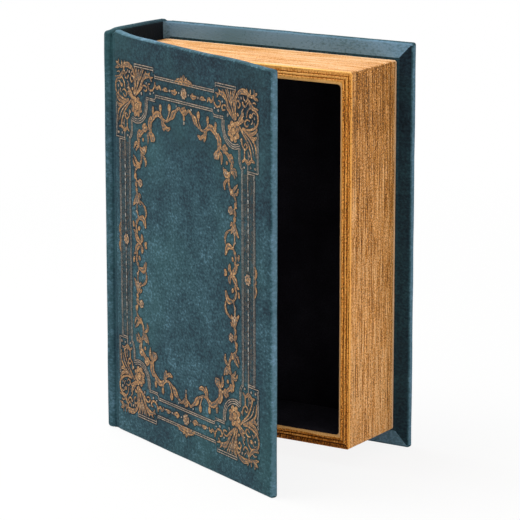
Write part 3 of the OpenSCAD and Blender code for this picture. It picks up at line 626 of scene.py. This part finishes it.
def lay_ornament(grow, lift):
    """The whole ornament, each stroke a hair higher or lower than those that it crosses. grow is
    how much wider the strokes are than the block's, and lift how far they stand out."""
    bm = bmesh.new()
    bm.verts.layers.float.new("vein")
    bm.verts.layers.float.new("solid")
    for i, knots in enumerate(rules):
        width = rule_w * (upright_share if knots[0][0] == knots[-1][0] else 1)
        lay_stroke(bm, knots, (width, width, width), grow, lift + 0.004 * (i % 5))
    laid = len(bm.verts)
    for x in shade_places:
        lay_stroke(bm, [(x, 61), (x, 3)], (shade_w, shade_w, shade_w), 0.03 * grow, 0.6 * lift)
    # So fine a line presses in deeper than the rest, and takes hardly more foil than a vein does
    for v in bm.verts[laid:]:
        v[bm.verts.layers.float["solid"]] = 1
        v[bm.verts.layers.float["vein"]] = 0.75
    for i, (widths, *knots) in enumerate(strokes):
        lay_stroke(bm, knots, widths, grow, lift + 0.02 + 0.005 * (i % 9))
    for i, (at, long, wide, angle) in enumerate(beads):
        lay_bead(bm, at, long, wide, angle, grow, lift + 0.06 + 0.004 * (i % 7))
    for at, radius, petals in flowers:
        lay_flower(bm, at, radius, petals, grow, lift + 0.08)
    lay_flower(bm, (55.2, 84), 6.6, 8, grow, lift + 0.02)
    for axis in ("X", "Y"):
        bmesh.ops.mirror(bm, geom=bm.verts[:] + bm.edges[:] + bm.faces[:], matrix=Matrix(),
                         merge_dist=0.0005, axis=axis)
    for side in (-1, 1):
        lay_flower(bm, (0, side * 98.8), 3.6, 8, grow, lift + 0.05)
        lay_flower(bm, (0, side * 88.3), 3.0, 6, grow, lift + 0.05)
        lay_bead(bm, (0, side * 84.2), 1.5, 1.1, 90, grow, lift + 0.05)
        lay_bead(bm, (0, side * 81.4), 1.1, 0.8, 90, grow, lift + 0.05)
        lay_flower(bm, (side * 70.1, 0), 3.5, 8, grow, lift + 0.05)
        lay_bead(bm, (side * 52.6, 0), 1.3, 1.3, 0, grow, lift + 0.09)
    bmesh.ops.reverse_faces(bm, faces=[f for f in bm.faces if f.normal.z < 0])
    bmesh.ops.solidify(bm, geom=bm.faces[:], thickness=foil_t)
    for v in bm.verts:
        # The block sat a touch out of square when it was stamped, and the velvet stretched under it
        x = frame_middle[0] + 0.988 * v.co.x - 0.004 * v.co.y
        z = frame_middle[1] + (1.004 + 0.000055 * v.co.x) * v.co.y + 0.008 * v.co.x
        # The side next to the hinge is drawn a little closer at the tail than at the head
        if x < drawn_side:
            x = drawn_side - (drawn_side - x) * (0.89 + 0.07 * z / height)
        give = cloth_lift * noise.noise(Vector((x, face_y, z)) / cloth_wave)
        over = min(max(groove + cloth_roll - x, 0), cloth_roll)
        round_edge = cloth_roll - math.sqrt(cloth_roll ** 2 - over ** 2)
        v.co = (x, face_y + round_edge - give - v.co.z, z)
    return bm


def foil_material():
    """Hot stamping foil, copper gold: an aluminium film under tinted lacquer, pressed on pile, so it
    shines softly, breaks up over the tufts and wears through to brown on its high spots."""
    material, tree, shader = new_material("copper_gold_stamping_foil", {
        "Metallic": 0.45, "Roughness": 0.42, "Specular IOR Level": 0.5})
    where = add_node(tree, "TexCoord").outputs["Object"]
    # Tufts under the foil drawn 1 mm across, and patches of wear about 6 mm across
    tufts = add_node(tree, "TexNoise", {"Vector": where, "Scale": 900, "Detail": 3, "Roughness": 0.6})
    patches = add_node(tree, "TexNoise", {"Vector": where, "Scale": 160, "Detail": 2})
    tone = -0.7
    for pattern, share in ((tufts, 1.9), (patches, 0.55)):
        tone = add_node(tree, "Math", {0: pattern, 1: share, 2: tone}, operation="MULTIPLY_ADD")
    # The block's engraved veins leave a thin line of bare pile along each leaf
    vein = add_node(tree, "Attribute", attribute_name="vein").outputs["Fac"]
    bare_pile = add_node(tree, "MapRange", {"Value": vein, "From Min": 0.6, "From Max": 0.9, "To Max": 0.3})
    tone = add_node(tree, "Math", {0: tone, 1: bare_pile}, operation="SUBTRACT")
    gold = add_node(tree, "ValToRGB", {"Fac": tone}, stops=[
        (0.2, "#2f393a"), (0.34, "#5e4733"), (0.48, "#8a6139"), (0.62, "#a1723c"),
        (0.76, "#b58b58"), (0.92, "#d2b68e")])
    # On small beads and thin rules the lacquer has rubbed off, down to the grey aluminium
    wear_and_highlight = add_node(tree, "ValToRGB", {"Fac": tone}, stops=[
        (0.2, "#434a4b"), (0.45, "#787770"), (0.8, "#a9a8a2")])
    solid = add_node(tree, "Attribute", attribute_name="solid").outputs["Fac"]
    lacquer = add_node(tree, "MapRange", {"Value": solid, "To Min": 0.1, "To Max": 1.0})
    foil = add_node(tree, "Mix", {0: lacquer, 6: wear_and_highlight, 7: gold}, data_type="RGBA")
    give_finish(tree, shader, foil.outputs[2], tufts, 0.6)
    return material


gilt_foil = finish_piece(lay_ornament(0, 0.16), "gilt_foil_frame", ajar, foil_material())
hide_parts("gilt_frame")
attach(gilt_foil, "front_cover")

# The pile round the strokes is very dark: partly crushed pile, partly painted shade between the strokes
pressed_pile_with_painted_shade = finish_piece(lay_ornament(1.2, 0.06), "pressed_pile_with_painted_shade", ajar,
                            velvet_material("pressed_velvet_with_painted_shade", 0.02))
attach(pressed_pile_with_painted_shade, "front_cover")


# Page paper
# Four strips of embossed gilt paper are glued round the tray and over its rim, mitred at the
# corners. The embossing gives uneven lines, about 2 mm apart, like the leaves of a thick book.
rim_y = 0.3
rim_w = 7.5
edge_roll = 0.7
corner_roll = 1.8
window_roll = 2.5
window_start = 5.5


def pages_section(way):
    """Inset, depth and outward direction at a distance from the back along the paper's section:
    up the tray's outside, over its front edge and across the rim to the window."""
    side = back_y - rim_y - edge_roll
    arc = edge_roll * math.pi / 2
    flat = rim_w - 2 * edge_roll
    if way < side:
        return 0, back_y - way, (-1, 0)
    way -= side
    if way < arc:
        turned = way / edge_roll
        return (edge_roll * (1 - math.cos(turned)), rim_y + edge_roll * (1 - math.sin(turned)),
                (-math.cos(turned), -math.sin(turned)))
    way -= arc
    if way < flat:
        return edge_roll + way, rim_y, (0, -1)
    way -= flat
    turned = min(way / edge_roll, math.pi / 2)
    return (rim_w - edge_roll * (1 - math.sin(turned)), rim_y + edge_roll * (1 - math.cos(turned)),
            (math.sin(turned), -math.cos(turned)))


pages_length = back_y - rim_y - edge_roll + edge_roll * math.pi + rim_w - 2 * edge_roll
# Lines between the leaves: distance from the back cover, depth and half width
leaf_lines = []
deepest = 0.34
random.seed(7)
place = 0.5
while place < pages_length:
    leaf_lines.append((place, random.uniform(0.12, deepest), random.uniform(0.25, 0.5)))
    place += random.choice((0.9, 1.2, 1.6, 2.1, 2.6)) * random.uniform(0.85, 1.15)
rim_start = pages_length - rim_w
leaf_lines = [line for line in leaf_lines if line[0] < rim_start - 1.5]
leaf_lines += [(rim_start + 0.7, 0.3, 0.4), (rim_start + 2.2, 0.55, 0.8), (rim_start + 4.3, 0.55, 0.8)]
# Painted highlights on the crests at the rim's outer edge and between its grooves, strongest by
# the back cover and round the window, where they show the paper's pale buff: start, end and how
# far
full_buff_highlight = 1.5
crest_highlights = [(0.2, 2.6, full_buff_highlight), (52.6, 54.2, 1), (rim_start + 3.0, rim_start + 3.5, 1),
          (pages_length - 1.5, pages_length + 1, full_buff_highlight)]


def corner_radius(inset):
    """Radius of the tray's outline at an inset: rolled outer corners, sharp mitres, then the
    window's rounded corners."""
    share = fade(inset, window_start, rim_w)
    return max(corner_roll - inset, 0) + window_roll * share * share * (3 - 2 * share)


def along_side(inset, half, step, steps):
    """Position along one side, and the extra inset of its rolled corners. half is half the
    side's length."""
    r = corner_radius(inset)
    corner_steps = 4
    from_end = min(step, steps - step)
    hand = 1 if step > steps / 2 else -1
    if from_end < corner_steps:
        turned = math.radians(45) * (1 - from_end / corner_steps)
        return hand * (half - inset - r * (1 - math.sin(turned))), r * (1 - math.cos(turned))
    share = (from_end - corner_steps) / (steps / 2 - corner_steps)
    return hand * (half - inset - r) * (1 - share), 0


def page_strip(half, across, ways, tone, rim_painted_shade):
    """Page paper for one side. across maps (position along, inset, depth) to book millimetres;
    tone and rim_painted_shade are how much paler the print is painted on the side and on the rim,
    as painted light and shade."""
    bm = bmesh.new()
    steps = 88
    rows = 250
    raw_edge = 1.2
    bmesh.ops.create_grid(bm, x_segments=steps, y_segments=rows, size=1)
    sunk = bm.verts.layers.float.new("sunk")
    crest_highlight = bm.verts.layers.float.new("crest_highlight")
    paper_painted_light = bm.verts.layers.float.new("paper_painted_light")
    rim = bm.verts.layers.float.new("rim")
    on_paper = bm.loops.layers.uv.new("paper")
    places = {}
    for v in bm.verts:
        step = round((v.co.x + 1) / 2 * steps)
        way = ways[0] + (v.co.y + 1) / 2 * (ways[1] - ways[0])
        inset, depth, out = pages_section(way)
        along, extra = along_side(inset, half, step, steps)
        wander = 0.45 * noise.noise(Vector((along / 40, way / 6, half)))
        valley = 0
        for line, deep, wide in leaf_lines:
            near = abs(way + wander - line)
            if near < wide:
                valley = max(valley, deep * (1 - (near / wide) ** 2))
        shift = -valley + 0.05 * noise.noise(Vector((along / 5, way, half + 3)))
        if way < raw_edge:
            # The sheet's raw edge dips in against the back cover
            shift = -0.7 * (1 - way / raw_edge) ** 2
        v[sunk] = valley / deepest
        v[rim] = fade(way, rim_start - 2.6, rim_start - 0.6)
        outer_rim = 1 - fade(way, rim_start, pages_length)
        v[paper_painted_light] = tone(along) * (1 - v[rim]) + rim_painted_shade * v[rim] * (0.5 + outer_rim)
        v[crest_highlight] = max((highlight_strength for low, high, highlight_strength in crest_highlights if low < way < high), default=0)
        v.co = across(along, inset + extra + out[0] * shift, depth + out[1] * shift)
        places[v] = (along / 1000, way / 1000)
    for face in bm.faces:
        for loop in face.loops:
            loop[on_paper].uv = places[loop.vert]
    bmesh.ops.solidify(bm, geom=bm.faces[:], thickness=0.5)
    return bm


def gilt_paper_material(name, coarse, pale):
    """Embossed paper printed in gold ink: a half-metallic satin with brown painted shade in its
    hollows and pale painted highlights on its crests. The pattern follows the paper's own map, in
    metres along and across its lines; coarse is how strongly the print breaks up, and pale its two
    lightest colours."""
    material, tree, shader = new_material(name, {
        "Metallic": 0.15, "Roughness": 0.5, "Specular IOR Level": 0.15})
    paper = add_node(tree, "UVMap", uv_map="paper")
    # Lines 1.1 mm wide and 60 mm long, bands 3.6 mm wide, strands of 20 by 0.8 mm, and print
    # grain of 0.9 by 0.6 mm that breaks them up
    patterns = []
    for scale, detail in (((17, 900, 1), 2), ((20, 280, 1), 0), ((50, 1250, 1), 2), ((1150, 1700, 1), 1)):
        laid = add_node(tree, "Mapping", {"Vector": paper, "Scale": scale})
        patterns.append(add_node(tree, "TexNoise", {
            "Vector": laid, "Scale": 1, "Detail": detail, "Roughness": 0.62}))
    lines, bands, strands, grain = patterns
    side, hollow_painted_shade, wear_and_highlight, on_rim = [
        add_node(tree, "Attribute", attribute_name=name).outputs["Fac"]
        for name in ("paper_painted_light", "sunk", "crest_highlight", "rim")]
    # The print is rougher on the rim, where fingers rub it
    rough = add_node(tree, "Math", {0: grain, 1: on_rim}, operation="MULTIPLY")
    # The tone starts from each side's painted light and shade
    tone = add_node(tree, "Math", {0: side, 1: 0.1 + 1.45 * coarse}, operation="SUBTRACT")
    # Painted shade darkens the hollows and the rim, and painted highlights brighten the crests
    for pattern, share in ((lines, 1.1), (bands, 0.2), (strands, 1.2 * coarse), (grain, 1.7 * coarse),
                           (hollow_painted_shade, -0.3), (wear_and_highlight, 0.24), (rough, 1.0), (on_rim, -0.2)):
        tone = add_node(tree, "Math", {0: pattern, 1: share, 2: tone}, operation="MULTIPLY_ADD")
    gold = add_node(tree, "ValToRGB", {"Fac": tone}, stops=[
        (0.1, "#3f240c"), (0.32, "#84511c"), (0.46, "#b5742f"), (0.58, "#d18e3f"),
        (0.74, pale[0]), (0.95, pale[1])])
    # Painted shade: on the rim, away from the light, the gold is painted a deeper yellow
    yellow = add_node(tree, "Mix", {0: on_rim, 6: gold, 7: srgb("#ffe4a2")},
                      data_type="RGBA", blend_type="MULTIPLY")
    # Where the painted crest highlights are strongest, the paper's own pale buff shows
    highlight_strength = add_node(tree, "MapRange", {"Value": wear_and_highlight, "From Min": 1.0, "From Max": full_buff_highlight,
                                       "To Max": 0.4 * coarse})
    printed = add_node(tree, "Mix", {0: highlight_strength, 6: yellow.outputs[2], 7: srgb("#d8b797")}, data_type="RGBA")
    give_finish(tree, shader, printed.outputs[2], add_node(tree, "Math", {0: lines, 1: grain}), 0.5)
    return material


upright_paper = gilt_paper_material("gold_printed_paper", 1.2, ("#e8a763", "#f8c992"))
# Painted highlight: the paper on the ends has paler colours, for the light glancing off the head
end_paper_with_painted_highlight = gilt_paper_material("gold_printed_paper_on_the_ends_with_painted_highlight", 0.45, ("#e9b681", "#fed5aa"))
half_x = tray_x / 2
half_z = (tray_high - tray_low) / 2
middle_z = tray_low + half_z
all_ways = (0, pages_length)
rim_ways = (back_y - rim_y - edge_roll + 0.2, pages_length)
# Painted light and shade: the print is painted palest at the head, lit from above, on the fore
# edge it is painted a little darker towards the head, and the rim is painted darkest at the tail,
# in shade
page_sides = [
    ("head", half_x, all_ways, end_paper_with_painted_highlight, lambda along: 0.16 + 0.0002 * along, 0,
     lambda along, inset, depth: (half_x + along, depth, tray_high - inset)),
    ("tail", half_x, all_ways, end_paper_with_painted_highlight, lambda along: 0, -0.38,
     lambda along, inset, depth: (half_x + along, depth, tray_low + inset)),
    ("fore_edge", half_z, all_ways, upright_paper, lambda along: 0.07 - 0.001 * along, 0,
     lambda along, inset, depth: (tray_x - inset, depth, middle_z + along)),
    ("spine_rim", half_z, rim_ways, upright_paper, lambda along: 0, 0,
     lambda along, inset, depth: (inset, depth, middle_z + along))]
for side, half, ways, gold_paper, tone, rim_painted_shade, across in page_sides:
    strip = page_strip(half, across, ways, tone, rim_painted_shade)
    paper = finish_piece(strip, side + "_paper", standing, gold_paper)
    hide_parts(side + "_pages")
    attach(paper, "case")


# Linings
# Thin card covered in black flock lines the tray's four walls and its floor, and fills the bed
# on the inner face of the front cover.
def flock_material():
    """Nylon flock on card: short upright fibres that swallow almost all light, with a faint grey
    bloom at the edges."""
    material, tree, shader = new_material("black_nylon_flock", {
        "Roughness": 1.0, "Specular IOR Level": 0.05, "Sheen Weight": 0.06,
        "Sheen Roughness": 0.5, "Sheen Tint": srgb("#5a606c")})
    where = add_node(tree, "TexCoord").outputs["Object"]
    # Fibre tufts drawn 1 mm across, and thin places of 25 mm
    tufts = add_node(tree, "TexNoise", {"Vector": where, "Scale": 1000, "Detail": 2})
    thin = add_node(tree, "TexNoise", {"Vector": where, "Scale": 40, "Detail": 2})
    tone = 0
    for pattern in (tufts, thin):
        tone = add_node(tree, "Math", {0: pattern, 1: 0.5, 2: tone}, operation="MULTIPLY_ADD")
    black = add_node(tree, "ValToRGB", {"Fac": tone}, stops=[
        (0.35, "#110f14"), (0.5, "#1b191f"), (0.65, "#26242a")])
    give_finish(tree, shader, black.outputs[0], tufts, 0.6)
    return material


flock = flock_material()
card_t = 0.8
mouth_y = 1.1
floor_y = 51.3
left, right, lower, upper = rim_w, tray_x - rim_w, tray_low + rim_w, tray_high - rim_w
linings = [
    ("lining_head", (left - card_t, mouth_y, upper),
     (right + card_t, floor_y, upper + card_t), standing, "case"),
    ("lining_tail", (left - card_t, mouth_y, lower - card_t),
     (right + card_t, floor_y, lower), standing, "case"),
    ("lining_fore_edge", (right, mouth_y, lower), (right + card_t, floor_y, upper), standing, "case"),
    ("lining_spine", (left - card_t, mouth_y, lower), (left, floor_y, upper), standing, "case"),
    ("lining_floor", (left, floor_y - card_t, lower), (right, floor_y, upper), standing, "case"),
    ("front_liner", (groove + turn_in / 2, -sheet_depth, turn_in),
     (fore_edge - turn_in, 0, height - turn_in), ajar, "front_cover")]
for node, low, high, place, body in linings:
    card = rolled_slab(low, high, 0.25, 3)
    cut_in_rows(card, (1, 0, 0), range(20, 160, 20))
    cut_in_rows(card, (0, 0, 1), range(30, 230, 20))
    panel = finish_piece(card, node + "_flock", place, flock)
    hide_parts(node)
    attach(panel, body)


# Boards, plain liners and steel inside
# Grey-brown fibreboard stiffens the covers and makes the tray. Blue paper-backed cloth lies between
# the tray and the case, and magnets in the tray hold steel discs in the cover.
def fibreboard_material():
    """Medium density fibreboard, sawn and sanded: dull tan with short fibres of about 2 mm."""
    material, tree, shader = new_material("sanded_fibreboard", {"Roughness": 0.85})
    where = add_node(tree, "TexCoord").outputs["Object"]
    fibres = add_node(tree, "TexNoise", {"Vector": where, "Scale": 500, "Detail": 4, "Roughness": 0.7})
    tan = add_node(tree, "ValToRGB", {"Fac": fibres}, stops=[
        (0.3, "#7d6243"), (0.5, "#8f7350"), (0.7, "#a68a65")])
    give_finish(tree, shader, tan.outputs[0], fibres, 0.3, 0.0002)
    return material


def liner_cloth_material():
    """Blue book cloth backed with paper: a plain weave, with threads drawn 1 mm apart so that
    they show."""
    material, tree, shader = new_material("blue_book_cloth", {"Roughness": 0.9})
    where = add_node(tree, "TexCoord").outputs["Object"]
    warp, weft = [
        add_node(tree, "TexWave", {"Vector": where, "Scale": 314, "Distortion": 0.6}, bands_direction=way)
        for way in ("X", "Z")]
    weave = add_node(tree, "Math", {0: warp.outputs[1], 1: weft.outputs[1]}, operation="MULTIPLY")
    blue = add_node(tree, "ValToRGB", {"Fac": weave}, stops=[(0.0, "#1f3641"), (1.0, "#35525e")])
    give_finish(tree, shader, blue.outputs[0], weave, 0.4, 0.0002)
    return material


def steel_material():
    """Nickel-plated steel, turned and tumbled: a bright metal with fine random scratches."""
    material, tree, shader = new_material("nickel_plated_steel", {"Metallic": 1.0, "Roughness": 0.3})
    where = add_node(tree, "TexCoord").outputs["Object"]
    # Scratches drawn 0.5 mm apart
    scratches = add_node(tree, "TexNoise", {"Vector": where, "Scale": 2000, "Detail": 2})
    grey = add_node(tree, "ValToRGB", {"Fac": scratches}, stops=[(0.3, "#9fa3a6"), (0.7, "#c6c9cb")])
    tree.links.new(grey.outputs[0], shader.inputs["Base Color"])
    return material


carried = [
    (fibreboard_material(), ("spine_board", "back_board", "front_board", "tray_head_wall",
                             "tray_tail_wall", "tray_fore_edge_wall", "tray_spine_wall", "tray_floor")),
    (liner_cloth_material(), ("spine_liner", "back_liner")),
    (steel_material(), ("tray_magnets", "cover_discs"))]
for material, nodes in carried:
    for node in nodes:
        for slot in frame["nodes"][node].material_slots:
            slot.material = material


# Floor and light
# The box stands on a plain white floor under one wide soft lamp above the front cover, with a
# smaller one to the right for the fore edge, a third to the left, and white all round.
def white_to_camera(tree):
    """1 for the rays that show the white itself: straight, in a reflection or through something clear."""
    ray = add_node(tree, "LightPath")
    seen = ray.outputs["Is Camera Ray"]
    for way in ("Is Glossy Ray", "Is Transmission Ray"):
        seen = add_node(tree, "Math", {0: seen, 1: ray.outputs[way]}, operation="MAXIMUM")
    return seen


stage = bpy.data.objects.new("floor", bpy.data.meshes.new("floor"))
ground = bmesh.new()
bmesh.ops.create_grid(ground, x_segments=1, y_segments=1, size=12)
ground.to_mesh(stage.data)
ground.free()
bpy.context.scene.collection.objects.link(stage)

white_floor, tree, shader = new_material("white_paper_sweep", {
    "Roughness": 0.9, "Specular IOR Level": 0.1, "Base Color": srgb("#f4f4f2")})
bright = add_node(tree, "Emission", {"Color": (1, 1, 1, 1), "Strength": 1.0})
# The sweep glows to plain white from a metre out; nearer, it keeps the box's soft shadow
where = add_node(tree, "TexCoord").outputs["Object"]
away = add_node(tree, "VectorMath", {0: where}, operation="LENGTH")
glow = add_node(tree, "MapRange", {
    "Value": away.outputs["Value"], "From Min": 0.12, "From Max": 0.9, "To Min": 0.88, "To Max": 1.0})
lit = add_node(tree, "Math", {0: white_to_camera(tree), 1: glow}, operation="MULTIPLY")
sweep = add_node(tree, "MixShader", {0: lit, 1: shader, 2: bright})
tree.links.new(sweep.outputs[0], tree.nodes["Material Output"].inputs["Surface"])
stage.data.materials.append(white_floor)

world = bpy.data.worlds.new("white_studio")
bpy.context.scene.world = world
world.use_nodes = True
tree = world.node_tree
strength = add_node(tree, "MapRange", {"Value": white_to_camera(tree), "To Min": 0.45, "To Max": 1.0})
tree.links.new(strength.outputs[0], tree.nodes["Background"].inputs["Strength"])
tree.nodes["Background"].inputs["Color"].default_value = (1, 1, 1, 1)

box_middle = Vector((0, 0, 0.12))
lamps = [
    ("lamp_above", (-0.45, -0.1, 1.2), 0.8, 13),
    ("lamp_right", (0.75, -0.48, 0.06), 0.35, 2.6),
    ("lamp_left", (-0.6, -0.9, 0.2), 0.5, 3)]
for name, place, size, power in lamps:
    lamp = bpy.data.objects.new(name, bpy.data.lights.new(name, "AREA"))
    lamp.data.shape = "SQUARE"
    lamp.data.size = size
    lamp.data.energy = power
    lamp.location = place
    lamp.rotation_euler = (Vector(place) - box_middle).to_track_quat("Z", "Y").to_euler()
    bpy.context.scene.collection.objects.link(lamp)
bpy.context.scene.view_settings.view_transform = "Standard"
